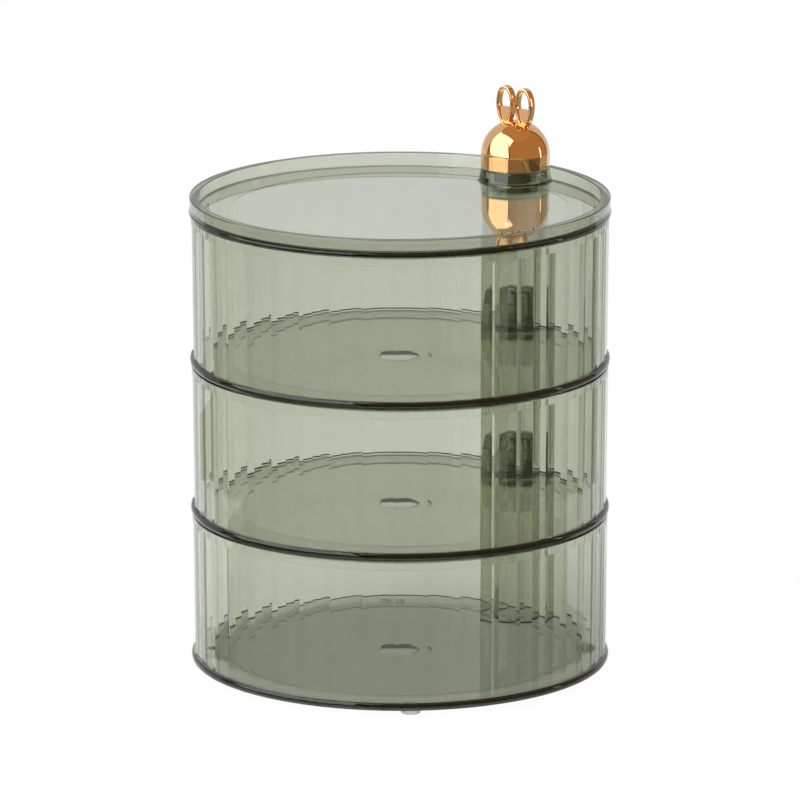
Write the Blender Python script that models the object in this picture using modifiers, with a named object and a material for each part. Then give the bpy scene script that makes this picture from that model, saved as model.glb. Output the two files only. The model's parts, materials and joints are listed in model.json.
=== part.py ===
"""Rotating makeup organizer: three faceted round trays and a rimmed lid that swing about one column.

Metres, +Z up, the origin on the table under the centre of the trays. The swivel column stands
at +Y, and the knob with its two looped ears faces the middle of the lid, towards -Y.
"""

import math

import bmesh
import bpy

# Driving dimensions of the whole stack
LID_RADIUS = 0.0600
TRAY_HEIGHT = 0.0433
KNOB_RADIUS = 0.0100
SWIVEL_GAP = 0.0003
FIT = 0.0003
RUNNING_FIT = 0.0001
OVERRUN = 0.0020
WELD_DISTANCE = 0.000001

# Tray shell, inwards from the lid's edge
LID_OVERHANG = 0.0003
WALL_DRAFT = 0.00035
TRAY_WALL = 0.0020
BAND_HEIGHT = 0.0024
TRAY_LIP_EDGE = 0.0003
BEAD_HEIGHT = 0.0022
BEAD_PROUD = 0.00075
FLOOR_TOP = 0.0019
FLOOR_FILLET = 0.0002
SOLE_WIDTH = 0.01095
RECESS_DEPTH = 0.0005

# Flat facets round the outside of the tray wall, one of them facing the column
FACET_COUNT = 40
FACET_STEP = 0.00012

# Gate well under the middle of each floor
GATE_RADIUS = 0.0063
GATE_DEPTH = 0.0009

# Column and its bearing sleeve
COLUMN_INSET = 0.0004
COLUMN_WALL = 0.0019
SOCKET_DEPTH = 0.0018
SOCKET_WALL = 0.0010
SLEEVE_CLEARANCE = 0.0013
SLEEVE_WALL = 0.0017
SLEEVE_HEIGHT = 0.0076

# Swivel pin
CLAW_INSET = 0.0003
CLAW_HEIGHT = 0.0032
CLAW_NOSE = 0.0015
PIN_BORE_SHARE = 0.48
SLOT_WIDTH = 0.0012
SLOT_DEPTH = 0.0075
SLOT_COUNT = 2

# Lid
LID_HEIGHT = 0.00495
LID_FLOOR_TOP = 0.00135
LID_WALL = 0.0025
LID_EDGE = 0.0003
LID_FILLET = 0.0004
LID_BEAD_PROUD = 0.0002
LID_BEAD_HEIGHT = 0.0011
LID_RECESS_DEPTH = 0.0003
COLLAR_FLARE = 0.0006
COLLAR_WALL = 0.0021

# Knob
KNOB_SKIRT = 0.0037
KNOB_CROWN = 0.0055
KNOB_EDGE = 0.0002
PEG_RADIUS = 0.0008
PEG_LENGTH = 0.0022

# Ears
EAR_SPACING = 0.0071
EAR_WIDTH = 0.0062
EAR_HEIGHT = 0.0114
EAR_RISE = 0.0098
EAR_THICKNESS = 0.0022
EAR_BAND = 0.00075
EAR_EDGE = 0.00015
EAR_TAPER_SHARE = 0.10
EAR_POINTS = 24
INNER_EAR_TOP = 0.0052
INNER_EAR_THICKNESS = 0.0010

# Rubber feet
FOOT_RADIUS = 0.0028
FOOT_CLEARANCE = 0.0015
FOOT_INSET = 0.00355
FOOT_EDGE = 0.0004

# Steps round the turned shapes
SHELL_STEPS = 80
COLUMN_STEPS = 30
KNOB_STEPS = 30
DOME_SEGMENTS = 8
PIN_STEPS = 20
FOOT_STEPS = 14
HALF_FACET = math.pi / COLUMN_STEPS
SHARP_ANGLE = math.radians(35)
FACET_SHARP_ANGLE = math.radians(6)

# Sizes that follow
BAND_RADIUS = LID_RADIUS - LID_OVERHANG
FOOT_WALL_RADIUS = BAND_RADIUS - WALL_DRAFT
RECESS_RADIUS = FOOT_WALL_RADIUS - SOLE_WIDTH
FOOT_CIRCLE = FOOT_WALL_RADIUS - FOOT_INSET
COLUMN_OFFSET = LID_RADIUS - KNOB_RADIUS
COLUMN_RADIUS = KNOB_RADIUS - COLUMN_INSET
COLUMN_BORE = COLUMN_RADIUS - COLUMN_WALL
SOCKET_RADIUS = COLUMN_RADIUS - SOCKET_WALL
SLEEVE_RADIUS = COLUMN_BORE - SLEEVE_CLEARANCE
BEARING_RADIUS = SLEEVE_RADIUS - SLEEVE_WALL
COLLAR_BORE = KNOB_RADIUS - COLLAR_WALL
KNOB_BORE_DEPTH = KNOB_SKIRT + KNOB_RADIUS - KNOB_CROWN

# Linear colour, roughness and metallic of each finish
TINTED_CLEAR = ((0.30, 0.34, 0.22), 0.05, 0.0)
COPPER_PLATE = ((0.78, 0.36, 0.14), 0.12, 1.0)
CLEAR_RUBBER = ((0.70, 0.71, 0.68), 0.35, 0.0)

# Heights in the stack, from the table up
TRAY_PITCH = TRAY_HEIGHT + SWIVEL_GAP
TRAY_NAMES = ("bottom_tray", "middle_tray", "top_tray")
PIN_NAMES = ("lower_swivel_pin", "middle_swivel_pin", "upper_swivel_pin")
LID_BASE = FOOT_CLEARANCE + len(TRAY_NAMES) * TRAY_PITCH
KNOB_BASE = LID_BASE + LID_HEIGHT + FIT


def clear_scene():
    """Empties the scene and makes the collections for the parts and for their cutters."""
    for obj in list(bpy.data.objects):
        bpy.data.objects.remove(obj, do_unlink=True)
    made = []
    for name in ("rotating_makeup_organizer", "cutters"):
        group = bpy.data.collections.new(name)
        bpy.context.scene.collection.children.link(group)
        made.append(group)
    return made


PARTS, CUTTERS = clear_scene()


def finish_material(name, look):
    colour, roughness, metallic = look
    material = bpy.data.materials.new(name)
    material.use_nodes = True
    shader = material.node_tree.nodes["Principled BSDF"]
    shader.inputs["Base Color"].default_value = (*colour, 1)
    shader.inputs["Roughness"].default_value = roughness
    shader.inputs["Metallic"].default_value = metallic
    return material


def place(name, mesh, location=(0, 0, 0), turn=0, cutter=False):
    """Links a mesh as a named part, or as a hidden wire cutter."""
    obj = bpy.data.objects.new(name, mesh)
    obj.location = location
    obj.rotation_euler = (0, 0, turn)
    (CUTTERS if cutter else PARTS).objects.link(obj)
    if cutter:
        obj.hide_render = True
        obj.display_type = "WIRE"
    return obj


def dress(obj, look):
    obj.data.materials.append(finish_material(obj.name + "_finish", look))
    return obj


def arc(centre, radii, start, end, segments):
    """Points on an elliptical arc, with its angles in degrees."""
    points = []
    for i in range(segments + 1):
        angle = math.radians(start + (end - start) * i / segments)
        points.append((centre[0] + radii[0] * math.cos(angle), centre[1] + radii[1] * math.sin(angle)))
    return points


def turned(name, profile, steps, location=(0, 0, 0), turn=0, cutter=False):
    """A profile of (radius, height) points, run down its outer side, screwed about Z."""
    mesh = bpy.data.meshes.new(name)
    edges = [(i, i + 1) for i in range(len(profile) - 1)]
    mesh.from_pydata([(radius, 0, height) for radius, height in profile], edges, [])
    obj = place(name, mesh, location, turn, cutter)
    screw = obj.modifiers.new("turn", "SCREW")
    screw.axis = "Z"
    screw.steps = steps
    screw.render_steps = steps
    screw.use_merge_vertices = True
    screw.merge_threshold = WELD_DISTANCE
    screw.use_smooth_shade = True
    return obj


def boolean(obj, other, operation):
    modifier = obj.modifiers.new(operation.lower(), "BOOLEAN")
    modifier.operation = operation
    modifier.object = other
    modifier.solver = "EXACT"
    return modifier


def settle(obj, look, sharp_angle=SHARP_ANGLE):
    """Applies the modifiers, shades the round faces smooth and gives the part its finish."""
    graph = bpy.context.evaluated_depsgraph_get()
    mesh = bpy.data.meshes.new_from_object(obj.evaluated_get(graph))
    obj.modifiers.clear()
    obj.data = mesh
    mesh.name = obj.name
    mesh.materials.clear()
    mesh.shade_smooth()
    mesh.set_sharp_from_angle(angle=sharp_angle)
    return dress(obj, look)


def outline_mesh(name, loops, half_depth):
    """A flat outline with holes, filled and extruded, as a welded mesh in its own XY plane."""
    curve = bpy.data.curves.new(name, "CURVE")
    curve.dimensions = "2D"
    curve.fill_mode = "BOTH"
    curve.extrude = half_depth
    for loop in loops:
        spline = curve.splines.new("POLY")
        spline.points.add(len(loop) - 1)
        for point, (x, y) in zip(spline.points, loop):
            point.co = (x, y, 0, 1)
        spline.use_cyclic_u = True
    guide = bpy.data.objects.new(name + "_outline", curve)
    CUTTERS.objects.link(guide)
    graph = bpy.context.evaluated_depsgraph_get()
    mesh = bpy.data.meshes.new_from_object(guide.evaluated_get(graph))
    bpy.data.objects.remove(guide)
    cage = bmesh.new()
    cage.from_mesh(mesh)
    bmesh.ops.remove_doubles(cage, verts=cage.verts, dist=WELD_DISTANCE)
    bmesh.ops.recalc_face_normals(cage, faces=cage.faces)
    cage.to_mesh(mesh)
    cage.free()
    return mesh


def facet_cutter(name, base):
    """A ring whose flat-sided inside narrows downwards with the draft of the wall."""
    top = TRAY_HEIGHT - BAND_HEIGHT
    outer = LID_RADIUS + OVERRUN
    top_arris = BAND_RADIUS - FACET_STEP
    foot_arris = FOOT_WALL_RADIUS - FACET_STEP
    profile = [(outer, top), (outer, BEAD_HEIGHT), (foot_arris, BEAD_HEIGHT), (top_arris, top), (outer, top)]
    return turned(name, profile, FACET_COUNT, (0, 0, base), math.pi / FACET_COUNT, True)


def circle_angles(count):
    return [2 * math.pi * i / count for i in range(count)]


def tray_shell(name, base):
    """The turned body: floor, drafted wall, plain top band and the round bead at the foot."""
    inner_foot = FOOT_WALL_RADIUS - TRAY_WALL
    inner_top = BAND_RADIUS - TRAY_WALL
    edge = TRAY_LIP_EDGE
    fillet = FLOOR_FILLET
    profile = [(0, FLOOR_TOP)]
    profile += arc((inner_foot - fillet, FLOOR_TOP + fillet), (fillet, fillet), -90, 0, 1)
    profile += [(inner_top, TRAY_HEIGHT - edge), (inner_top + edge, TRAY_HEIGHT)]
    profile += [(BAND_RADIUS - edge, TRAY_HEIGHT), (BAND_RADIUS, TRAY_HEIGHT - edge)]
    profile += [(BAND_RADIUS, TRAY_HEIGHT - BAND_HEIGHT)]
    profile += arc((FOOT_WALL_RADIUS, BEAD_HEIGHT / 2), (BEAD_PROUD, BEAD_HEIGHT / 2), 90, -90, 4)
    profile += [(RECESS_RADIUS, 0), (RECESS_RADIUS, RECESS_DEPTH), (0, RECESS_DEPTH)]
    return turned(name, profile, SHELL_STEPS, (0, 0, base))


def column_blank(name, base, foot, top, foot_radius, top_radius, trim_radius):
    """A turned post, trimmed to the round of the wall that it merges with."""
    profile = [(0, top), (top_radius, top), (foot_radius, foot), (0, foot)]
    post = turned(name, profile, COLUMN_STEPS, (0, COLUMN_OFFSET, base), HALF_FACET, True)
    low = foot - OVERRUN
    high = top + OVERRUN
    trim = turned(
        name + "_trim",
        [(0, high), (trim_radius, high), (trim_radius, low), (0, low)],
        SHELL_STEPS,
        (0, 0, base),
        cutter=True,
    )
    boolean(post, trim, "INTERSECT")
    return post


def tray(index):
    """One faceted tray with its hollow column, and above the lowest one a bearing sleeve."""
    name = TRAY_NAMES[index]
    base = FOOT_CLEARANCE + index * TRAY_PITCH
    body = tray_shell(name, base)
    middle_of_wall = (BAND_RADIUS + FOOT_WALL_RADIUS - TRAY_WALL) / 2
    post = column_blank(
        name + "_column",
        base,
        (FLOOR_TOP + RECESS_DEPTH) / 2,
        TRAY_HEIGHT,
        COLUMN_RADIUS,
        COLUMN_RADIUS,
        middle_of_wall,
    )
    boolean(body, post, "UNION")
    above = TRAY_HEIGHT + OVERRUN
    socket_floor = TRAY_HEIGHT - SOCKET_DEPTH
    bore = [(0, above), (SOCKET_RADIUS, above), (SOCKET_RADIUS, socket_floor)]
    bore += [(COLUMN_BORE, socket_floor), (COLUMN_BORE, FLOOR_TOP)]
    if index == 0:
        bore += [(0, FLOOR_TOP)]
    else:
        sleeve_top = FLOOR_TOP + SLEEVE_HEIGHT
        bore += [(SLEEVE_RADIUS, FLOOR_TOP), (SLEEVE_RADIUS, sleeve_top)]
        bore += [(BEARING_RADIUS, sleeve_top), (BEARING_RADIUS, -OVERRUN), (0, -OVERRUN)]
    place_at = (0, COLUMN_OFFSET, base)
    boolean(body, turned(name + "_bore", bore, COLUMN_STEPS, place_at, cutter=True), "DIFFERENCE")
    boolean(body, facet_cutter(name + "_facets", base), "DIFFERENCE")
    dome_radius = (GATE_RADIUS**2 + GATE_DEPTH**2) / (2 * GATE_DEPTH)
    half_angle = math.degrees(math.asin(GATE_RADIUS / dome_radius))
    crown = RECESS_DEPTH + GATE_DEPTH
    well = arc((0, crown - dome_radius), (dome_radius, dome_radius), 90, 90 - half_angle, 2)
    well += [(GATE_RADIUS, -OVERRUN), (0, -OVERRUN)]
    gate = turned(name + "_gate", well, COLUMN_STEPS, (0, 0, base), HALF_FACET / 2, True)
    boolean(body, gate, "DIFFERENCE")
    return settle(body, TINTED_CLEAR, FACET_SHARP_ANGLE)


def swivel_pin(index):
    """A flanged pin whose four claws snap over the sleeve of the tray or lid above it."""
    name = PIN_NAMES[index]
    top_of_tray = FOOT_CLEARANCE + index * TRAY_PITCH + TRAY_HEIGHT
    floor_above = LID_FLOOR_TOP if index == len(PIN_NAMES) - 1 else FLOOR_TOP
    flange_radius = SOCKET_RADIUS - FIT
    flange_low = FIT - SOCKET_DEPTH
    shank = BEARING_RADIUS - RUNNING_FIT
    catch = SWIVEL_GAP + floor_above + SLEEVE_HEIGHT + FIT
    tip = catch + CLAW_HEIGHT
    bore_foot = tip - SLOT_DEPTH
    bore = shank * PIN_BORE_SHARE
    claw = SLEEVE_RADIUS - CLAW_INSET
    nose = CLAW_NOSE
    profile = [(0, bore_foot), (bore, bore_foot), (bore, tip)]
    profile += arc((claw - nose, tip - 2 * nose), (nose, 2 * nose), 90, 0, 3)
    profile += [(claw, catch), (shank, catch), (shank, 0), (flange_radius, 0)]
    profile += [(flange_radius, flange_low), (0, flange_low)]
    pin = turned(name, profile, PIN_STEPS, (0, COLUMN_OFFSET, top_of_tray))
    for turn in range(SLOT_COUNT):
        cage = bmesh.new()
        bmesh.ops.create_cube(cage, size=1)
        size = (2 * (claw + OVERRUN), SLOT_WIDTH, SLOT_DEPTH + OVERRUN)
        bmesh.ops.scale(cage, vec=size, verts=cage.verts)
        mesh = bpy.data.meshes.new(name + "_slot")
        cage.to_mesh(mesh)
        cage.free()
        middle = top_of_tray + tip + OVERRUN - size[2] / 2
        angle = math.pi / 4 + turn * math.pi / SLOT_COUNT
        slot = place(f"{name}_slot_{turn}", mesh, (0, COLUMN_OFFSET, middle), angle, cutter=True)
        boolean(pin, slot, "DIFFERENCE")
    return settle(pin, TINTED_CLEAR)


def lid():
    """The rimmed lid, with the collar that carries the knob and the sleeve inside it."""
    inner = LID_RADIUS - LID_WALL
    edge = LID_EDGE
    bead = (LID_BEAD_PROUD, LID_BEAD_HEIGHT / 2)
    profile = [(0, LID_FLOOR_TOP)]
    profile += arc((inner - LID_FILLET, LID_FLOOR_TOP + LID_FILLET), (LID_FILLET, LID_FILLET), -90, 0, 1)
    profile += [(inner, LID_HEIGHT - edge), (inner + edge, LID_HEIGHT)]
    profile += [(LID_RADIUS - edge, LID_HEIGHT), (LID_RADIUS, LID_HEIGHT - edge)]
    profile += arc((LID_RADIUS, LID_BEAD_HEIGHT / 2), bead, 90, -90, 3)
    profile += [(RECESS_RADIUS, 0), (RECESS_RADIUS, LID_RECESS_DEPTH), (0, LID_RECESS_DEPTH)]
    body = turned("lid", profile, SHELL_STEPS, (0, 0, LID_BASE))
    collar = column_blank(
        "lid_collar",
        LID_BASE,
        (LID_FLOOR_TOP + LID_RECESS_DEPTH) / 2,
        LID_HEIGHT,
        KNOB_RADIUS + COLLAR_FLARE,
        KNOB_RADIUS,
        LID_RADIUS - LID_WALL / 2,
    )
    boolean(body, collar, "UNION")
    place_at = (0, COLUMN_OFFSET, LID_BASE)
    above = LID_HEIGHT + OVERRUN
    well = [(0, above), (COLLAR_BORE, above), (COLLAR_BORE, LID_FLOOR_TOP), (0, LID_FLOOR_TOP)]
    boolean(body, turned("lid_well", well, COLUMN_STEPS, place_at, cutter=True), "DIFFERENCE")
    sleeve_top = LID_FLOOR_TOP + SLEEVE_HEIGHT
    foot = (LID_FLOOR_TOP + LID_RECESS_DEPTH) / 2
    sleeve = [(0, sleeve_top), (SLEEVE_RADIUS, sleeve_top), (SLEEVE_RADIUS, foot), (0, foot)]
    boolean(body, turned("lid_sleeve", sleeve, COLUMN_STEPS, place_at, HALF_FACET, True), "UNION")
    over = sleeve_top + OVERRUN
    hole = [(0, over), (BEARING_RADIUS, over), (BEARING_RADIUS, -OVERRUN), (0, -OVERRUN)]
    boolean(body, turned("lid_bearing", hole, COLUMN_STEPS, place_at, cutter=True), "DIFFERENCE")
    return settle(body, TINTED_CLEAR)


def knob_dome():
    """The plated cap, bored to sit over the sleeve and the claws, with a peg hole for each ear."""
    bore = SLEEVE_RADIUS + FIT
    profile = arc((0, KNOB_SKIRT), (KNOB_RADIUS, KNOB_RADIUS), 90, 0, DOME_SEGMENTS)
    profile += [(KNOB_RADIUS, KNOB_EDGE), (KNOB_RADIUS - KNOB_EDGE, 0), (bore, 0)]
    profile += [(bore, KNOB_BORE_DEPTH), (0, KNOB_BORE_DEPTH)]
    dome = turned("knob_dome", profile, KNOB_STEPS, (0, COLUMN_OFFSET, KNOB_BASE))
    for side in (-1, 1):
        peg_floor = ear_seat() - PEG_LENGTH - FIT
        high = KNOB_SKIRT + KNOB_RADIUS + OVERRUN
        radius = PEG_RADIUS + FIT
        hole = [(0, high), (radius, high), (radius, peg_floor), (0, peg_floor)]
        place_at = (side * EAR_SPACING / 2, COLUMN_OFFSET, KNOB_BASE)
        drill = turned(f"ear_hole_{side}", hole, FOOT_STEPS, place_at, cutter=True)
        boolean(dome, drill, "DIFFERENCE")
    return settle(dome, COPPER_PLATE)


def ear_seat():
    """Height over the knob's base at which the dome passes under the middle of an ear."""
    return KNOB_SKIRT + math.sqrt(KNOB_RADIUS**2 - (EAR_SPACING / 2) ** 2)


def ear_loop(half_width, half_height):
    """An upright oval, a little narrower below than above."""
    points = []
    for angle in circle_angles(EAR_POINTS):
        taper = 1 + EAR_TAPER_SHARE * math.cos(angle)
        points.append((half_width * math.sin(angle) * taper, half_height * math.cos(angle)))
    return points


def ear(name, side):
    """A looped ear with a thinner inner ear across its lower part and a peg for the dome."""
    middle = KNOB_SKIRT + KNOB_RADIUS + EAR_RISE - EAR_HEIGHT / 2
    place_at = (side * EAR_SPACING / 2, COLUMN_OFFSET, KNOB_BASE + middle)
    outer = ear_loop(EAR_WIDTH / 2, EAR_HEIGHT / 2)
    inner = ear_loop(EAR_WIDTH / 2 - EAR_BAND, EAR_HEIGHT / 2 - EAR_BAND)
    loop = place(name, outline_mesh(name, [outer, inner], EAR_THICKNESS / 2 - EAR_EDGE), place_at)
    loop.rotation_euler = (math.pi / 2, 0, 0)
    crown = INNER_EAR_TOP - EAR_HEIGHT / 2
    mid_band = ear_loop((EAR_WIDTH - EAR_BAND) / 2, (EAR_HEIGHT - EAR_BAND) / 2)
    web_outline = [(x, min(z, crown)) for x, z in mid_band]
    web_mesh = outline_mesh(name + "_web", [web_outline], INNER_EAR_THICKNESS / 2)
    web = place(name + "_web", web_mesh, place_at, cutter=True)
    web.rotation_euler = loop.rotation_euler
    boolean(loop, web, "UNION")
    seat = turned(
        name + "_seat",
        arc((0, KNOB_SKIRT), (KNOB_RADIUS + FIT, KNOB_RADIUS + FIT), 90, 0, DOME_SEGMENTS) + [(0, KNOB_SKIRT)],
        KNOB_STEPS,
        (0, COLUMN_OFFSET, KNOB_BASE),
        cutter=True,
    )
    boolean(loop, seat, "DIFFERENCE")
    peg_top = ear_seat() + EAR_BAND + FIT
    peg_foot = ear_seat() - PEG_LENGTH
    peg_profile = [(0, peg_top), (PEG_RADIUS, peg_top), (PEG_RADIUS, peg_foot), (0, peg_foot)]
    peg_at = (side * EAR_SPACING / 2, COLUMN_OFFSET, KNOB_BASE)
    boolean(loop, turned(name + "_peg", peg_profile, FOOT_STEPS, peg_at, cutter=True), "UNION")
    return settle(loop, COPPER_PLATE)


def foot(name, angle):
    """A clear rubber stick-on foot, rounded where it meets the table."""
    top = FOOT_CLEARANCE - FIT
    profile = [(0, top), (FOOT_RADIUS, top)]
    profile += arc((FOOT_RADIUS - FOOT_EDGE, FOOT_EDGE), (FOOT_EDGE, FOOT_EDGE), 0, -90, 2)
    profile += [(0, 0)]
    place_at = (FOOT_CIRCLE * math.cos(angle), FOOT_CIRCLE * math.sin(angle), 0)
    return settle(turned(name, profile, FOOT_STEPS, place_at), CLEAR_RUBBER)


def build():
    for index in range(len(TRAY_NAMES)):
        tray(index)
        swivel_pin(index)
    lid()
    knob_dome()
    ear("left_ear", -1)
    ear("right_ear", 1)
    corners = ("rear_right_foot", "rear_left_foot", "front_left_foot", "front_right_foot")
    for quarter, name in enumerate(corners):
        foot(name, math.pi / 4 + quarter * math.pi / 2)


build()
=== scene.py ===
"""Dresses the rotating makeup organizer in tinted clear plastic and copper plate, on a white stage."""

import json
import math

import bmesh
import bpy
from bpy.props import FloatProperty, FloatVectorProperty, IntProperty, PointerProperty
from bpy.types import Operator, Panel, PropertyGroup
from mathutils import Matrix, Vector


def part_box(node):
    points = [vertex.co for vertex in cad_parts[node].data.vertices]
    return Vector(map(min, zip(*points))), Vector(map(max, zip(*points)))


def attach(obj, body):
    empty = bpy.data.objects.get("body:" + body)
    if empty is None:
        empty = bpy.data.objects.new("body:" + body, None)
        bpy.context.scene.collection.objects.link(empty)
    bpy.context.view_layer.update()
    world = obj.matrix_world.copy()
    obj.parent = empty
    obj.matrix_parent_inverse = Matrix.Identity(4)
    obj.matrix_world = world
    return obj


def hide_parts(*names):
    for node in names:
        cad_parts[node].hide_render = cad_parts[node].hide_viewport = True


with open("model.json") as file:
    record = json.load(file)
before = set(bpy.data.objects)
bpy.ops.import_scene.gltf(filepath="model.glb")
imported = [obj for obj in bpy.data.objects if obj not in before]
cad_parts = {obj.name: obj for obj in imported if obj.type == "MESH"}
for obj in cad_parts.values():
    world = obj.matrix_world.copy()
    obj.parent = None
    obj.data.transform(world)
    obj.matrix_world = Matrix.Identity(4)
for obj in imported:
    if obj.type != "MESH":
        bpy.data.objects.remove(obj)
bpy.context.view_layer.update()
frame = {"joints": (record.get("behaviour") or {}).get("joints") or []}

bl_info = {
    "name": "Rotating makeup organizer",
    "version": (1, 0, 0),
    "blender": (4, 5, 0),
    "location": "3D View > Sidebar > Organizer",
    "description": "Builds the clear faceted trays, the lid, the plated knob and the stage",
    "category": "Object",
}

MM = 0.001
TRAYS = ("bottom_tray", "middle_tray", "top_tray")
PINS = ("lower_swivel_pin", "middle_swivel_pin", "upper_swivel_pin")
EARS = ("left_ear", "right_ear")
FEET = ("rear_right_foot", "rear_left_foot", "front_left_foot", "front_right_foot")
PIVOT = (0.0, next(joint["pos_m"][1] for joint in frame["joints"] if joint["name"] == "lid_swivel"))

# Sizes that the pieces share
EDGE = 0.3 * MM
GAP = 0.3 * MM
NEAR_AXIS = 0.05 * MM
SMOOTH_ANGLE = math.radians(20)

# Points round the circles, and sides round the rooms inside the trays and the lid
POINTS_A_FACET = 8
LID_POINTS = 320
RECESS_POINTS = 240
COLUMN_POINTS = 96
GATE_POINTS = 64
PIN_POINTS = 72
KNOB_POINTS = 128
EAR_POINTS = 128
FOOT_POINTS = 48
LID_SIDES = 256
LID_SKIP = 8
TRAY_SKIP = 4
STEP_IN_SIDES = 48


def low(node):
    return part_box(node)[0]


def high(node):
    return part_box(node)[1]


# Sizes that a user may change
def length(name, default, description):
    return FloatProperty(
        name=name, description=description, default=default, min=0, unit="LENGTH", precision=5
    )


class TraySizes(PropertyGroup):
    band_radius: length("Band radius", 59.7 * MM, "Outer radius of the plain band under the rim")
    foot_radius: length("Foot radius", 59.35 * MM, "Outer radius of the wall above the bead")
    wall: length("Wall", 2.0 * MM, "Thickness of the wall")
    band_height: length("Band height", 2.4 * MM, "Height of the plain band")
    bead_height: length("Bead height", 2.2 * MM, "Height of the round bead at the foot")
    bead_proud: length("Bead stands proud", 0.75 * MM, "How far the bead stands out from the wall")
    floor_top: length("Floor", 1.9 * MM, "Height of the floor's upper face over the bead's underside")
    recess_radius: length("Recess radius", 48.4 * MM, "Radius of the shallow recess under the floor")
    recess_depth: length("Recess depth", 0.5 * MM, "Depth of the recess under the floor")
    gate_radius: length("Gate well radius", 6.3 * MM, "Radius of the moulding gate's well")
    gate_depth: length("Gate well depth", 0.9 * MM, "Depth of the moulding gate's well")
    facets: IntProperty(name="Facets", default=40, min=12, description="Flat facets round the wall")
    inner_sides: IntProperty(
        name="Inner sides", default=128, min=32, description="Narrow sides of the wall's inner face"
    )
    column_radius: length("Column radius", 9.6 * MM, "Outer radius of the swivel column")
    column_bore: length("Column bore", 7.7 * MM, "Radius of the column's bore")
    socket_radius: length("Socket radius", 8.6 * MM, "Radius of the seat for the pin's flange")
    socket_depth: length("Socket depth", 1.8 * MM, "Depth of the seat for the pin's flange")
    sleeve_radius: length("Sleeve radius", 6.4 * MM, "Outer radius of the bearing sleeve")
    sleeve_height: length("Sleeve height", 7.6 * MM, "Height of the sleeve over the floor")
    bearing_radius: length("Bearing radius", 4.7 * MM, "Radius of the bearing hole")


class LidSizes(PropertyGroup):
    radius: length("Radius", 60.0 * MM, "Outer radius of the lid")
    wall: length("Rim width", 2.5 * MM, "Width of the lid's rim")
    floor_top: length("Floor", 1.35 * MM, "Height of the lid's upper face over its underside")
    bead_proud: length("Bead stands proud", 0.2 * MM, "How far the lower edge stands out")
    bead_height: length("Bead height", 1.1 * MM, "Height of the rounded lower edge")
    recess_depth: length("Recess depth", 0.3 * MM, "Depth of the recess under the lid")
    collar_foot: length("Collar foot radius", 10.6 * MM, "Radius of the knob's collar at its foot")
    collar_top: length("Collar top radius", 10.0 * MM, "Radius of the knob's collar at its top")
    collar_bore: length("Collar bore", 7.9 * MM, "Radius of the well in the collar")


class KnobSizes(PropertyGroup):
    radius: length("Dome radius", 10.0 * MM, "Radius of the knob's dome and skirt")
    skirt: length("Skirt", 3.7 * MM, "Height of the straight skirt under the dome")
    ear_width: length("Ear width", 6.2 * MM, "Outer width of an ear's loop")
    ear_band: length("Ear band", 0.95 * MM, "Width of the band that makes the loop")
    ear_thickness: length("Ear thickness", 2.2 * MM, "Front to back thickness of an ear")
    inner_ear: length("Inner ear height", 5.2 * MM, "Height of the thin web in the ear's lower part")


class PlasticLook(PropertyGroup):
    tint: FloatVectorProperty(
        name="Tint",
        subtype="COLOR",
        default=(0.562, 0.603, 0.451),
        min=0,
        max=1,
        description="Colour that the clear plastic lets through",
    )
    density: FloatProperty(
        name="Tint density", default=370.0, min=0, description="Strength of the tint, per metre"
    )
    ior: FloatProperty(
        name="Refraction", default=1.53, min=1, description="Index of refraction of the plastic"
    )


class PlateLook(PropertyGroup):
    colour: FloatVectorProperty(
        name="Plate",
        subtype="COLOR",
        default=(0.88, 0.50, 0.23),
        min=0,
        max=1,
        description="Colour of the copper plating",
    )
    roughness: FloatProperty(
        name="Roughness", default=0.01, min=0, max=1, description="Roughness of the plating"
    )


class StageLook(PropertyGroup):
    azimuth: FloatProperty(
        name="Azimuth",
        subtype="ANGLE",
        default=math.radians(41.85),
        description="Direction of the camera round the organizer",
    )
    elevation: FloatProperty(
        name="Elevation",
        subtype="ANGLE",
        default=math.radians(13.71),
        description="Height of the camera's view over the horizon",
    )
    distance: length("Distance", 2.2617, "Distance from the camera to the point it looks at")
    target: length("Target height", 77.1 * MM, "Height of the point that the camera looks at")
    lens: FloatProperty(name="Lens", default=355.2, min=1, description="Focal length in millimetres")
    background: FloatProperty(
        name="Background", default=1.0, min=0, description="Brightness of the backdrop"
    )
    seen_in_glass: FloatProperty(
        name="Seen in glass",
        default=0.88,
        min=0,
        description="Brightness of the backdrop in reflections and through plastic",
    )


# Mesh helpers
def circle(radius, count, centre=(0.0, 0.0), start=0.0):
    points = []
    for i in range(count):
        angle = start + 2 * math.pi * i / count
        points.append((centre[0] + radius * math.cos(angle), centre[1] + radius * math.sin(angle)))
    return points


def arc(centre, radii, start, end, segments):
    """Points on an elliptical arc in the (radius, height) plane, angles in degrees."""
    points = []
    for i in range(segments + 1):
        angle = math.radians(start + (end - start) * i / segments)
        points.append((centre[0] + radii[0] * math.cos(angle), centre[1] + radii[1] * math.sin(angle)))
    return points


def held(profile, reach=0.12 * MM):
    """Adds a point close to both ends of each long run, so that its shading stays straight."""
    points = [profile[0]]
    for start, end in zip(profile, profile[1:]):
        run = Vector(end) - Vector(start)
        if run.length > 8 * reach:
            step = run.normalized() * reach
            points += [tuple(Vector(start) + step), tuple(Vector(end) - step)]
        points.append(end)
    return points


def strip(cage, upper, lower, flat=0):
    """Faces between two closed rings of as many points, the first few of them flat shaded."""
    count = len(upper)
    for i in range(count):
        j = (i + 1) % count
        cage.faces.new((upper[i], lower[i], lower[j], upper[j])).smooth = i >= flat


def stack(cage, outlines, flat=0):
    """Joins (outline, height) rings one to the next and returns the first and the last."""
    rings = [[cage.verts.new((x, y, height)) for x, y in outline] for outline, height in outlines]
    for upper, lower in zip(rings, rings[1:]):
        strip(cage, upper, lower, flat)
    return rings[0], rings[-1]


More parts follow.
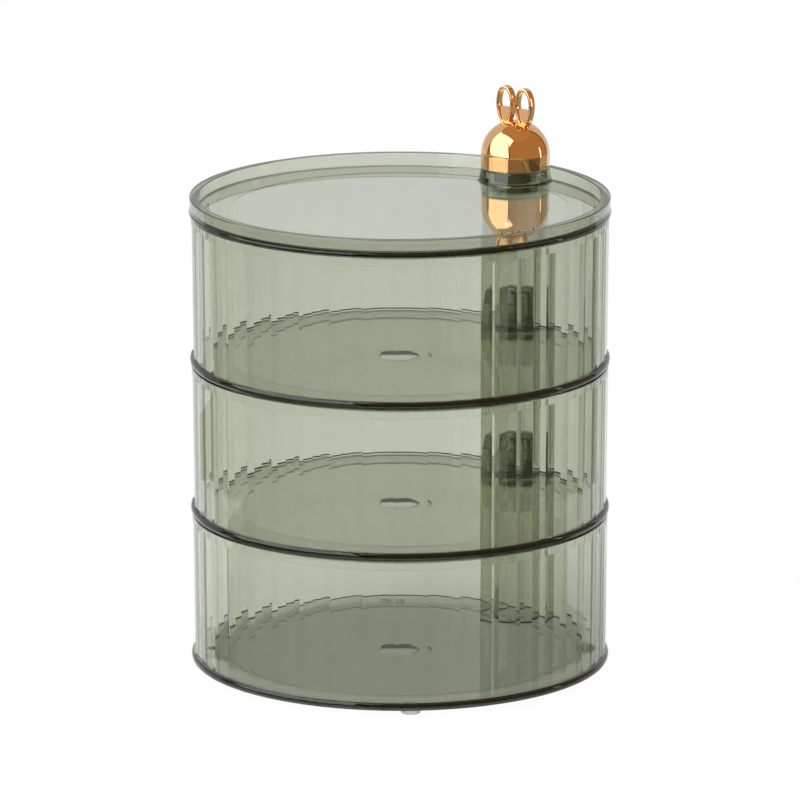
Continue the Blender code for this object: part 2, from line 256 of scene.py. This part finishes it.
def swept(cage, profile, points, centre=(0.0, 0.0), start=0.0):
    """Circles joined along a (radius, height) profile, of which it returns the first and the last."""
    return stack(cage, [(circle(radius, points, centre, start), height) for radius, height in profile])


def plate(cage, *rings):
    """A flat face inside the first ring, with the other rings as its holes."""
    edges = []
    for verts in rings:
        for pair in zip(verts, verts[1:] + verts[:1]):
            edges.append(cage.edges.get(pair) or cage.edges.new(pair))
    filled = bmesh.ops.triangle_fill(cage, use_beauty=True, use_dissolve=False, edges=edges)
    for item in filled["geom"]:
        if isinstance(item, bmesh.types.BMFace):
            item.smooth = False


def turned(profile, points):
    """A turned body from (radius, height) points, closed by a tiny flat face at each end."""
    cage = bmesh.new()
    for end in swept(cage, held(profile), points, start=math.pi / points):
        cage.faces.new(end).smooth = False
    return cage


def finish_mesh(name, cage):
    """A mesh whose edges are sharp where its faces meet at more than the smooth angle."""
    bmesh.ops.recalc_face_normals(cage, faces=cage.faces)
    for edge in cage.edges:
        edge.smooth = edge.calc_face_angle(0) < SMOOTH_ANGLE
    mesh = bpy.data.meshes.new(name)
    cage.to_mesh(mesh)
    cage.free()
    return mesh


def add_piece(name, cage, material, body, replaced, location):
    """A visible piece in place of its solid, riding on the body that carries it."""
    mesh = finish_mesh(name, cage)
    mesh.materials.append(material)
    piece = bpy.data.objects.new(name, mesh)
    piece.location = location
    bpy.context.scene.collection.objects.link(piece)
    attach(piece, body)
    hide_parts(*replaced)
    return piece


# Materials
def set_inputs(node, values):
    for key, value in values.items():
        node.inputs[key].default_value = value


def add_node(tree, kind, values):
    node = tree.nodes.new(kind)
    set_inputs(node, values)
    return node


def shared_material(name, dress):
    """The material of this name, dressed when it is first asked for."""
    if name not in bpy.data.materials:
        material = bpy.data.materials.new(name)
        material.use_nodes = True
        tree = material.node_tree
        dress(tree, tree.nodes["Principled BSDF"])
    return bpy.data.materials[name]


def add_ripple(tree, shader, scale, strength, detail=1.0):
    """A faint unevenness of the moulded surface."""
    place = tree.nodes.new("ShaderNodeTexCoord")
    noise = add_node(tree, "ShaderNodeTexNoise", {"Scale": scale, "Detail": detail})
    bump = add_node(tree, "ShaderNodeBump", {"Strength": strength, "Distance": 0.2 * MM})
    tree.links.new(place.outputs["Object"], noise.inputs["Vector"])
    tree.links.new(noise.outputs["Fac"], bump.inputs["Height"])
    tree.links.new(bump.outputs["Normal"], shader.inputs["Normal"])


def add_patches(tree, shader, scale, smoothest, roughest):
    """Roughness that wanders a little between two values."""
    place = tree.nodes.new("ShaderNodeTexCoord")
    noise = add_node(tree, "ShaderNodeTexNoise", {"Scale": scale, "Detail": 3.0})
    limits = {"From Min": 0.35, "From Max": 0.70, "To Min": smoothest, "To Max": roughest}
    spread = add_node(tree, "ShaderNodeMapRange", limits)
    tree.links.new(place.outputs["Object"], noise.inputs["Vector"])
    tree.links.new(noise.outputs["Fac"], spread.inputs["Value"])
    tree.links.new(spread.outputs["Result"], shader.inputs["Roughness"])


def dress_plastic(tree, shader):
    """Clear moulded plastic, coloured in the mass, so that long ways through it turn dark."""
    look = bpy.context.scene.organizer_plastic
    clear = {"Base Color": (1, 1, 1, 1), "Transmission Weight": 1.0, "Roughness": 0.0, "IOR": look.ior}
    set_inputs(shader, clear)
    tint = {"Color": (*look.tint, 1), "Density": look.density}
    mass = add_node(tree, "ShaderNodeVolumeAbsorption", tint)
    tree.links.new(mass.outputs["Volume"], tree.nodes["Material Output"].inputs["Volume"])
    add_ripple(tree, shader, scale=60.0, strength=0.02)


def dress_plate(tree, shader):
    """Mirror-bright copper plating with the faint waviness of the plastic under it."""
    look = bpy.context.scene.organizer_plate
    set_inputs(shader, {"Base Color": (*look.colour, 1), "Metallic": 1.0, "Roughness": look.roughness})
    add_ripple(tree, shader, scale=220.0, strength=0.03)
    add_patches(tree, shader, scale=500.0, smoothest=look.roughness, roughest=2 * look.roughness)


def dress_rubber(tree, shader):
    """Soft clear silicone, a little cloudy."""
    set_inputs(shader, {"Base Color": (0.90, 0.91, 0.89, 1), "Transmission Weight": 0.75, "IOR": 1.41})
    add_ripple(tree, shader, scale=900.0, strength=0.10, detail=3.0)
    add_patches(tree, shader, scale=700.0, smoothest=0.18, roughest=0.35)


def tinted_plastic():
    return shared_material("tinted_clear_plastic", dress_plastic)


def copper_plate():
    return shared_material("copper_plating", dress_plate)


def clear_rubber():
    return shared_material("clear_silicone", dress_rubber)


# Outlines of the trays
def facet_angles(count):
    """Angles of the points round the wall, with an arris midway between facets."""
    points = count * POINTS_A_FACET
    return [math.pi / 2 + 2 * math.pi * (i / POINTS_A_FACET - 0.5) / count for i in range(points)]


def plain_outline(sizes, radius):
    return [(radius * math.cos(a), radius * math.sin(a)) for a in facet_angles(sizes.facets)]


def faceted_outline(sizes, radius):
    """The wall's flat facets, which meet in arrises at the given radius."""
    half_pitch = math.pi / sizes.facets
    points = []
    for i, angle in enumerate(facet_angles(sizes.facets)):
        swing = half_pitch * (2 * (i % POINTS_A_FACET) / POINTS_A_FACET - 1)
        out = radius * math.cos(half_pitch) / math.cos(swing)
        points.append((out * math.cos(angle), out * math.sin(angle)))
    return points


def inner_outline(wall_radius, column_radius, sides, skipped):
    """The room inside a tray or rim: narrow flat sides, stepping in round the column."""
    offset = PIVOT[1]
    y = (wall_radius**2 - column_radius**2 + offset**2) / (2 * offset)
    x = math.sqrt(wall_radius**2 - y**2)
    pitch = 2 * math.pi / sides
    points = [(-x, y)]
    for i in range(skipped, sides - skipped + 1):
        angle = math.pi / 2 + pitch * i
        points.append((wall_radius * math.cos(angle), wall_radius * math.sin(angle)))
    points.append((x, y))
    begin = math.atan2(y - offset, x)
    turn = -(math.pi + 2 * begin)
    for i in range(1, STEP_IN_SIDES):
        angle = begin + turn * i / STEP_IN_SIDES
        points.append((column_radius * math.cos(angle), offset + column_radius * math.sin(angle)))
    return points


# Parts of the trays and the lid, each of which returns the rings that the next part joins
def tray_outside(cage, sizes, height):
    """The plain band, the facets and the bead, from the rim to the sole."""
    band = sizes.band_radius
    foot = sizes.foot_radius
    band_foot = height - sizes.band_height
    step = 0.12 * MM
    bead_half = sizes.bead_height / 2
    rim = arc((band - EDGE, height - EDGE), (EDGE, EDGE), 90, 0, 5) + [(band, band_foot)]
    top_outer, rim_foot = stack(cage, [(plain_outline(sizes, r), z) for r, z in held(rim)])
    facets = [(faceted_outline(sizes, band - step), band_foot)]
    facets.append((faceted_outline(sizes, foot - step), sizes.bead_height))
    around = sizes.facets * POINTS_A_FACET
    facet_top, facet_foot = stack(cage, facets, around)
    bead = arc((foot, bead_half), (sizes.bead_proud, bead_half), 90, -90, 12)
    bead_top, sole_outer = stack(cage, [(plain_outline(sizes, r), z) for r, z in bead])
    strip(cage, rim_foot, facet_top, around)
    strip(cage, facet_foot, bead_top, around)
    return top_outer, sole_outer


def hollow(cage, top, foot, fillet, steps, outline, flat=0):
    """The room inside, between two (wall radius, column radius, height) levels, and its floor."""
    lip = arc((EDGE, top[2] - EDGE), (EDGE, EDGE), 90, 180, 4)
    levels = [(top[0] + spread, top[1] - spread, z) for spread, z in lip]
    foot_round = arc((fillet, foot[2] + fillet), (fillet, fillet), 180, 270, steps)
    levels += [(foot[0] - spread, foot[1] + spread, z) for spread, z in foot_round]
    rings = [(inner_outline(wall, column, *outline), z) for wall, column, z in held(levels)]
    rim, floor_rim = stack(cage, rings, flat)
    plate(cage, floor_rim)
    return rim


def gate_well(cage, sizes):
    """The shallow domed dent that the moulding gate leaves under the floor."""
    upright = 0.25 * MM
    dome_radius = sizes.gate_radius - upright
    crown = sizes.gate_depth / 2
    ball = (dome_radius**2 + crown**2) / (2 * crown)
    half = math.degrees(math.asin(dome_radius / ball))
    rise = sizes.recess_depth + sizes.gate_depth
    well = [(sizes.gate_radius, sizes.recess_depth)]
    well += arc((0, rise - ball), (ball, ball), 90 - half, 89, 8)
    rim, crown_ring = swept(cage, well, GATE_POINTS)
    plate(cage, crown_ring)
    return rim


def bearing_sleeve(cage, sizes, floor, underside, rounded):
    """The sleeve on a floor, with the bearing hole that the pin below runs in."""
    tip = floor + sizes.sleeve_height
    shoulder = [(sizes.sleeve_radius, tip)]
    if rounded:
        shoulder = arc((sizes.sleeve_radius - EDGE, tip - EDGE), (EDGE, EDGE), 0, 90, 3)
    profile = [(sizes.sleeve_radius, floor)] + shoulder
    profile += [(sizes.bearing_radius, tip), (sizes.bearing_radius, underside)]
    return swept(cage, held(profile), COLUMN_POINTS, PIVOT)


def tray_cage(sizes, height, with_sleeve):
    """A faceted tray as one closed body, with its hollow column, round its own base."""
    cage = bmesh.new()
    top_outer, sole_outer = tray_outside(cage, sizes, height)
    recess_edge = 0.15 * MM
    recess = arc((sizes.recess_radius + recess_edge, recess_edge), (recess_edge, recess_edge), -90, -180, 3)
    recess.append((sizes.recess_radius, sizes.recess_depth))
    sole_inner, recess_rim = swept(cage, recess, RECESS_POINTS)
    plate(cage, sole_outer, sole_inner)

    floor = sizes.floor_top
    fillet = 0.2 * MM
    top = (sizes.band_radius - sizes.wall, sizes.column_radius, height)
    foot = (sizes.foot_radius - sizes.wall, sizes.column_radius, floor)
    wall_sides = sizes.inner_sides - 2 * TRAY_SKIP + 2
    top_inner = hollow(cage, top, foot, fillet, 6, (sizes.inner_sides, TRAY_SKIP), flat=wall_sides)

    bore = [(sizes.socket_radius, height), (sizes.socket_radius, height - sizes.socket_depth)]
    bore += [(sizes.column_bore, height - sizes.socket_depth)]
    bore += arc((sizes.column_bore - EDGE, floor + EDGE), (EDGE, EDGE), 0, -90, 3)
    socket_rim, bore_foot = swept(cage, held(bore), COLUMN_POINTS, PIVOT)
    plate(cage, top_outer, top_inner, socket_rim)

    gate_rim = gate_well(cage, sizes)
    if with_sleeve:
        sleeve_foot, bearing_foot = bearing_sleeve(cage, sizes, floor, sizes.recess_depth, rounded=True)
        plate(cage, bore_foot, sleeve_foot)
        plate(cage, recess_rim, gate_rim, bearing_foot)
    else:
        plate(cage, bore_foot)
        plate(cage, recess_rim, gate_rim)
    return cage


def lid_cage(sizes, tray, height):
    """The rimmed lid as one closed body, with the knob's collar and the sleeve inside it."""
    cage = bmesh.new()
    bead_half = sizes.bead_height / 2
    outside = arc((sizes.radius - EDGE, height - EDGE), (EDGE, EDGE), 90, 0, 5)
    outside += arc((sizes.radius, bead_half), (sizes.bead_proud, bead_half), 90, -90, 12)
    top_outer, sole_outer = swept(cage, held(outside), LID_POINTS)
    recess = [(tray.recess_radius, 0), (tray.recess_radius, sizes.recess_depth)]
    sole_inner, recess_rim = swept(cage, recess, RECESS_POINTS)
    plate(cage, sole_outer, sole_inner)

    inner = sizes.radius - sizes.wall
    floor = sizes.floor_top
    fillet = 0.4 * MM
    top = (inner, sizes.collar_top, height)
    foot = (inner, sizes.collar_foot, floor)
    top_inner = hollow(cage, top, foot, fillet, 5, (LID_SIDES, LID_SKIP))

    well = [(sizes.collar_bore, height), (sizes.collar_bore, floor)]
    well_rim, well_foot = swept(cage, held(well), COLUMN_POINTS, PIVOT)
    plate(cage, top_outer, top_inner, well_rim)
    sleeve_foot, bearing_foot = bearing_sleeve(cage, tray, floor, sizes.recess_depth, rounded=False)
    plate(cage, well_foot, sleeve_foot)
    plate(cage, recess_rim, bearing_foot)
    return cage


# Swivel pins
def cut_slot(piece, centre, turn, size):
    """Cuts a straight slot of the given size out of a piece."""
    cage = bmesh.new()
    bmesh.ops.create_cube(cage, size=1)
    bmesh.ops.scale(cage, vec=size, verts=cage.verts)
    mesh = bpy.data.meshes.new("slot")
    cage.to_mesh(mesh)
    cage.free()
    cutter = bpy.data.objects.new("slot", mesh)
    cutter.location = centre
    cutter.rotation_euler = (0, 0, turn)
    bpy.context.scene.collection.objects.link(cutter)
    cut = piece.modifiers.new("slot", "BOOLEAN")
    cut.operation = "DIFFERENCE"
    cut.solver = "EXACT"
    cut.object = cutter
    graph = bpy.context.evaluated_depsgraph_get()
    whole = bpy.data.meshes.new_from_object(piece.evaluated_get(graph))
    piece.modifiers.clear()
    piece.data = whole
    bpy.data.objects.remove(cutter)


def pin_piece(name, body):
    """A flanged pin with four snap claws, cut by two crossed slots."""
    sizes = bpy.context.scene.organizer_trays
    base = low(name)[2]
    tip = high(name)[2] - base
    play = 0.1 * MM
    flange = sizes.socket_radius - GAP
    flange_top = 1.5 * MM
    shank = sizes.bearing_radius - play
    claw = 6.1 * MM
    catch = tip - 3.2 * MM
    nose = 1.5 * MM
    bore = 2.2 * MM
    slot_width = 1.2 * MM
    slot_depth = 7.5 * MM
    profile = [(NEAR_AXIS, tip - slot_depth), (bore, tip - slot_depth), (bore, tip)]
    profile += arc((claw - nose, tip - 2 * nose), (nose, 2 * nose), 90, 0, 8)
    profile += [(claw, catch), (shank, catch), (shank, flange_top), (flange, flange_top)]
    profile += [(flange, 0), (NEAR_AXIS, 0)]
    cage = turned(profile, PIN_POINTS)
    place = (0, PIVOT[1], base)
    piece = add_piece(name + "_clear", cage, tinted_plastic(), body, [name], place)
    for quarter in range(2):
        turn = math.pi / 4 + quarter * math.pi / 2
        cut_slot(piece, (0, PIVOT[1], base + tip), turn, (4 * claw, slot_width, 2 * slot_depth))


# Looped ears
def ear_loop(half_width, half_height):
    """An upright oval, a little narrower below than above."""
    taper = 0.10
    outline = []
    for i in range(EAR_POINTS):
        angle = 2 * math.pi * i / EAR_POINTS
        widen = 1 + taper * math.cos(angle)
        outline.append((half_width * math.sin(angle) * widen, half_height * math.cos(angle)))
    return outline


def loop_band(cage, sizes, height):
    """The rounded band of an ear, front to back along Y."""
    edge = 0.42 * MM
    outer = edge
    inner = sizes.ear_band - edge
    depth = sizes.ear_thickness / 2 - edge
    corners = ((outer, depth), (inner, depth), (inner, -depth), (outer, -depth))
    section = []
    for start, corner in zip((180, 90, 0, -90), corners):
        section += arc(corner, (edge, edge), start, start - 90, 10)
    rings = []
    for inward, y in section:
        outline = ear_loop(sizes.ear_width / 2 - inward, height / 2 - inward)
        rings.append([cage.verts.new((x, y, z)) for x, z in outline])
    for upper, lower in zip(rings, rings[1:] + rings[:1]):
        strip(cage, upper, lower)


def ear_web(cage, sizes, height):
    """The thin web that fills the lower part of the loop, its front leaning back a little."""
    lean = 0.06
    front_depth = -0.35 * MM
    back_depth = 0.5 * MM
    crown = sizes.inner_ear - height / 2
    outline = ear_loop((sizes.ear_width - sizes.ear_band) / 2, (height - sizes.ear_band) / 2)
    cut = [(x, min(z, crown)) for x, z in outline]
    front = [cage.verts.new((x, lean * z + front_depth, z)) for x, z in cut]
    back = [cage.verts.new((x, back_depth, z)) for x, z in cut]
    strip(cage, front, back)
    for face in (front, back):
        cage.faces.new(face).smooth = False


# Operators, one for each kind of piece
class ORGANIZER_OT_trays(Operator):
    """Make the three faceted trays with their columns and sleeves"""

    bl_idname = "organizer.trays"
    bl_label = "Faceted trays"

    def execute(self, context):
        sizes = context.scene.organizer_trays
        for index, name in enumerate(TRAYS):
            base = low(name)[2]
            height = high(name)[2] - base
            cage = tray_cage(sizes, height, index > 0)
            add_piece(name + "_clear", cage, tinted_plastic(), name, [name], (0, 0, base))
        return {"FINISHED"}


class ORGANIZER_OT_pins(Operator):
    """Make the snap pins that join each tray to the one above"""

    bl_idname = "organizer.pins"
    bl_label = "Swivel pins"

    def execute(self, context):
        for name, body in zip(PINS, TRAYS):
            pin_piece(name, body)
        return {"FINISHED"}


class ORGANIZER_OT_lid(Operator):
    """Make the rimmed lid with the knob's collar"""

    bl_idname = "organizer.lid"
    bl_label = "Lid"

    def execute(self, context):
        sizes = context.scene.organizer_lid
        base = low("lid")[2]
        height = low("knob_dome")[2] - GAP - base
        cage = lid_cage(sizes, context.scene.organizer_trays, height)
        add_piece("lid_clear", cage, tinted_plastic(), "lid", ["lid"], (0, 0, base))
        return {"FINISHED"}


class ORGANIZER_OT_knob(Operator):
    """Make the plated dome of the knob"""

    bl_idname = "organizer.knob"
    bl_label = "Knob dome"

    def execute(self, context):
        sizes = context.scene.organizer_knob
        bore = context.scene.organizer_trays.sleeve_radius + GAP
        bore_depth = 8.2 * MM
        edge = 0.2 * MM
        profile = arc((0, sizes.skirt), (sizes.radius, sizes.radius), 89.5, 0, 40)
        profile += arc((sizes.radius - edge, edge), (edge, edge), 0, -90, 4)
        profile += [(bore, 0), (bore, bore_depth), (NEAR_AXIS, bore_depth)]
        cage = turned(profile, KNOB_POINTS)
        place = (0, PIVOT[1], low("knob_dome")[2])
        add_piece("knob_dome_plated", cage, copper_plate(), "lid", ["knob_dome"], place)
        return {"FINISHED"}


class ORGANIZER_OT_ears(Operator):
    """Make the knob's two looped ears"""

    bl_idname = "organizer.ears"
    bl_label = "Looped ears"

    def execute(self, context):
        sizes = context.scene.organizer_knob
        height = 11.4 * MM
        for name in EARS:
            start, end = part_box(name)
            cage = bmesh.new()
            loop_band(cage, sizes, height)
            ear_web(cage, sizes, height)
            place = ((start[0] + end[0]) / 2, PIVOT[1], end[2] - height / 2)
            add_piece(name + "_plated", cage, copper_plate(), "lid", [name], place)
        return {"FINISHED"}


class ORGANIZER_OT_feet(Operator):
    """Make the clear rubber feet"""

    bl_idname = "organizer.feet"
    bl_label = "Rubber feet"

    def execute(self, context):
        chamfer = 0.1 * MM
        edge = 0.4 * MM
        for name in FEET:
            start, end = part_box(name)
            radius = (end[0] - start[0]) / 2
            height = end[2] - start[2]
            profile = [(NEAR_AXIS, height), (radius - chamfer, height), (radius, height - chamfer)]
            profile += arc((radius - edge, edge), (edge, edge), 0, -90, 5)
            profile += [(NEAR_AXIS, 0)]
            cage = turned(profile, FOOT_POINTS)
            place = ((start[0] + end[0]) / 2, (start[1] + end[1]) / 2, start[2])
            add_piece(name + "_soft", cage, clear_rubber(), "bottom_tray", [name], place)
        return {"FINISHED"}


# Stage
def stage_spot(azimuth, distance, height):
    """A place round the organizer, by its angle to the right of the camera."""
    look = bpy.context.scene.organizer_stage
    angle = look.azimuth + azimuth
    return Vector((distance * math.sin(angle), -distance * math.cos(angle), height))


def look_at(thing, height):
    """Turns a lamp or camera towards a point on the organizer's axis."""
    aim = Vector((0, 0, height)) - thing.location
    thing.rotation_euler = aim.to_track_quat("-Z", "Y").to_euler()


def studio_card(name, faces, colour, strength, seen_through=False):
    """Glowing cards out of the camera's sight, which the plate mirrors and clear edges may show."""
    spots = []
    polygons = []
    for face in faces:
        polygons.append(list(range(len(spots), len(spots) + len(face))))
        spots += face
    mesh = bpy.data.meshes.new(name)
    mesh.from_pydata(spots, [], polygons)
    card = bpy.data.objects.new(name, mesh)
    material = bpy.data.materials.new(name)
    material.use_nodes = True
    tree = material.node_tree
    tree.nodes.clear()
    glow = add_node(tree, "ShaderNodeEmission", {"Color": (*colour, 1), "Strength": strength})
    out = tree.nodes.new("ShaderNodeOutputMaterial")
    tree.links.new(glow.outputs["Emission"], out.inputs["Surface"])
    mesh.materials.append(material)
    bpy.context.scene.collection.objects.link(card)
    card.visible_camera = False
    card.visible_diffuse = False
    card.visible_shadow = False
    card.visible_transmission = seen_through


def curved(start, end, near, far, panels=18):
    """Panels side by side round the organizer, between two (distance, height) edges."""
    faces = []
    for i in range(panels):
        left, right = (math.radians(start + (end - start) * k / panels) for k in (i, i + 1))
        corners = ((left, near), (right, near), (right, far), (left, far))
        faces.append([stage_spot(azimuth, *edge) for azimuth, edge in corners])
    return faces


def facing(distance, *directions):
    """A panel with its corners in the given (azimuth, elevation) directions from a point on the axis."""
    middle = 0.15
    corners = []
    for azimuth, elevation in directions:
        rise = math.radians(elevation)
        height = middle + distance * math.sin(rise)
        corners.append(stage_spot(math.radians(azimuth), distance * math.cos(rise), height))
    return [corners]


def softbox(name, azimuth, elevation, distance, size, power):
    target_height = 0.08
    light = bpy.data.lights.new(name, "AREA")
    light.shape = "RECTANGLE"
    light.size, light.size_y = size
    light.energy = power
    lamp = bpy.data.objects.new(name, light)
    flat = distance * math.cos(elevation)
    lamp.location = stage_spot(azimuth, flat, target_height + distance * math.sin(elevation))
    look_at(lamp, target_height)
    bpy.context.scene.collection.objects.link(lamp)


def stage_rays(tree, in_glass, by_camera):
    """Which rays show the stage, by eye, mirror or glass, and how bright it is to glass and to the eye."""
    path = tree.nodes.new("ShaderNodeLightPath")
    shows = path.outputs["Is Camera Ray"]
    for kind in ("Is Glossy Ray", "Is Transmission Ray"):
        either = tree.nodes.new("ShaderNodeMath")
        either.operation = "MAXIMUM"
        tree.links.new(shows, either.inputs[0])
        tree.links.new(path.outputs[kind], either.inputs[1])
        shows = either.outputs["Value"]
    strength = add_node(tree, "ShaderNodeMapRange", {"To Min": in_glass, "To Max": by_camera})
    tree.links.new(path.outputs["Is Camera Ray"], strength.inputs["Value"])
    return shows, strength.outputs["Result"]


def mix_shaders(tree, factor, first, second, target):
    mix = tree.nodes.new("ShaderNodeMixShader")
    tree.links.new(factor, mix.inputs["Fac"])
    tree.links.new(first, mix.inputs[1])
    tree.links.new(second, mix.inputs[2])
    tree.links.new(mix.outputs["Shader"], target)


def dress_floor(tree, shader):
    """White to every ray that shows the stage, with a share of the real shading for a faint shadow."""
    shade = {"Base Color": (0.93, 0.93, 0.93, 1), "Roughness": 0.9, "Specular IOR Level": 0.0}
    set_inputs(shader, shade)
    shows, share = stage_rays(tree, in_glass=0.28, by_camera=0.965)
    kept = tree.nodes.new("ShaderNodeMath")
    kept.operation = "MULTIPLY"
    tree.links.new(shows, kept.inputs[0])
    tree.links.new(share, kept.inputs[1])
    white = add_node(tree, "ShaderNodeEmission", {"Strength": 1.0})
    surface = tree.nodes["Material Output"].inputs["Surface"]
    mix_shaders(tree, kept.outputs["Value"], shader.outputs["BSDF"], white.outputs["Emission"], surface)


class ORGANIZER_OT_stage(Operator):
    """Set the white floor, the backdrop, the soft lights and the camera"""

    bl_idname = "organizer.stage"
    bl_label = "Stage"

    def execute(self, context):
        scene = context.scene
        look = scene.organizer_stage
        self.add_world(scene, look)
        self.add_floor(scene)
        softbox(
            "key_softbox",
            azimuth=math.radians(-58),
            elevation=math.radians(35),
            distance=0.9,
            size=(0.9, 1.2),
            power=9.0,
        )
        self.add_cards()
        self.add_camera(scene, look)
        scene.view_settings.view_transform = "Standard"
        scene.cycles.max_bounces = 32
        scene.cycles.transmission_bounces = 32
        scene.cycles.glossy_bounces = 12
        scene.cycles.transparent_max_bounces = 16
        scene.cycles.use_denoising = True
        return {"FINISHED"}

    def add_world(self, scene, look):
        """Pale light all round, with its own brightness for the rays that show it."""
        world = bpy.data.worlds.new("white_studio")
        scene.world = world
        world.use_nodes = True
        tree = world.node_tree
        tree.nodes.clear()
        pale = (0.8, 0.8, 0.8, 1)
        shows, strength = stage_rays(tree, in_glass=look.seen_in_glass, by_camera=look.background)
        lit = add_node(tree, "ShaderNodeBackground", {"Color": pale, "Strength": 1.0})
        shown = add_node(tree, "ShaderNodeBackground", {"Color": pale})
        tree.links.new(strength, shown.inputs["Strength"])
        surface = tree.nodes.new("ShaderNodeOutputWorld").inputs["Surface"]
        mix_shaders(tree, shows, lit.outputs["Background"], shown.outputs["Background"], surface)

    def add_floor(self, scene):
        reach = 6.0
        corners = [(-reach, -reach, 0), (reach, -reach, 0), (reach, reach, 0), (-reach, reach, 0)]
        mesh = bpy.data.meshes.new("studio_floor")
        mesh.from_pydata(corners, [], [(0, 1, 2, 3)])
        floor = bpy.data.objects.new("studio_floor", mesh)
        mesh.materials.append(shared_material("white_floor", dress_floor))
        scene.collection.objects.link(floor)

    def add_cards(self):
        """Dim warm cards in front and above, grey ones on the floor, and a bright window on each side."""
        warm = (1.0, 0.66, 0.36)
        grey = (0.95, 1.0, 0.82)
        white = (1, 1, 1)
        screens = 1.1
        ceiling = 1.6
        windows = 1.0
        near = (0.075, 0.5 * MM)
        side = (0.25, 0.5 * MM)
        far = (screens, 0.5 * MM)
        front = curved(-112, 130, (screens, 0.0), (screens, ceiling))
        studio_card("front_screen", front, warm, 0.44)
        above = curved(-180, 180, (0.0, ceiling), (screens, ceiling))
        studio_card("ceiling_screen", above, warm, 0.50)
        studio_card("dark_apron", curved(-92, 92, near, far), grey, 0.15, seen_through=True)
        studio_card("left_apron", curved(-130, -92, side, far, 4), grey, 0.55, seen_through=True)
        studio_card("right_apron", curved(92, 130, side, far, 4), grey, 0.44, seen_through=True)
        sill = facing(windows, (-20, -10), (-20, -2), (-93, -2), (-93, -10))
        studio_card("window_sill", sill, white, 0.75)
        edge_foot = (1.09, 0.0)
        edge_top = (1.09, 1.5)
        edges = facing(0.99, (-15, -10), (-20, -10), (-35, 56), (-32, 56))
        edges += curved(-112, -106, edge_foot, edge_top, 1) + curved(125, 130, edge_foot, edge_top, 1)
        studio_card("dark_edges", edges, warm, 0.08)
        left = facing(windows, (-20, -2), (-35, 56), (-123, 52), (-109, 21), (-93, -2))
        studio_card("left_window", left, white, 2.65)
        right = curved(92, 96, (windows, 0.0), (windows, 0.4), 1)
        studio_card("right_window", right, white, 3.0)

    def add_camera(self, scene, look):
        data = bpy.data.cameras.new("photo_camera")
        data.lens = look.lens
        data.sensor_width = 36.0
        data.clip_end = 20.0
        camera = bpy.data.objects.new("photo_camera", data)
        flat = look.distance * math.cos(look.elevation)
        camera.location = stage_spot(0.0, flat, look.target + look.distance * math.sin(look.elevation))
        look_at(camera, look.target)
        scene.collection.objects.link(camera)
        scene.camera = camera


class ORGANIZER_PT_panel(Panel):
    """List the steps, and the sizes and colours that they use"""

    bl_label = "Makeup organizer"
    bl_idname = "ORGANIZER_PT_panel"
    bl_space_type = "VIEW_3D"
    bl_region_type = "UI"
    bl_category = "Organizer"

    def draw(self, context):
        column = self.layout.column()
        for step in STEPS:
            column.operator(step.bl_idname)
        for group in GROUPS:
            settings = getattr(context.scene, group)
            box = column.box()
            for key in settings.__annotations__:
                box.prop(settings, key)


GROUPS = {
    "organizer_trays": TraySizes,
    "organizer_lid": LidSizes,
    "organizer_knob": KnobSizes,
    "organizer_plastic": PlasticLook,
    "organizer_plate": PlateLook,
    "organizer_stage": StageLook,
}
STEPS = (
    ORGANIZER_OT_trays,
    ORGANIZER_OT_pins,
    ORGANIZER_OT_lid,
    ORGANIZER_OT_knob,
    ORGANIZER_OT_ears,
    ORGANIZER_OT_feet,
    ORGANIZER_OT_stage,
)


def register():
    for group in GROUPS.values():
        bpy.utils.register_class(group)
    for step in STEPS:
        bpy.utils.register_class(step)
    bpy.utils.register_class(ORGANIZER_PT_panel)
    for name, group in GROUPS.items():
        setattr(bpy.types.Scene, name, PointerProperty(type=group))


def unregister():
    for name in GROUPS:
        delattr(bpy.types.Scene, name)
    bpy.utils.unregister_class(ORGANIZER_PT_panel)
    for step in reversed(STEPS):
        bpy.utils.unregister_class(step)
    for group in GROUPS.values():
        bpy.utils.unregister_class(group)


def main():
    register()
    bpy.ops.organizer.trays()
    bpy.ops.organizer.pins()
    bpy.ops.organizer.lid()
    bpy.ops.organizer.knob()
    bpy.ops.organizer.ears()
    bpy.ops.organizer.feet()
    bpy.ops.organizer.stage()


if __name__ == "__main__":
    main()
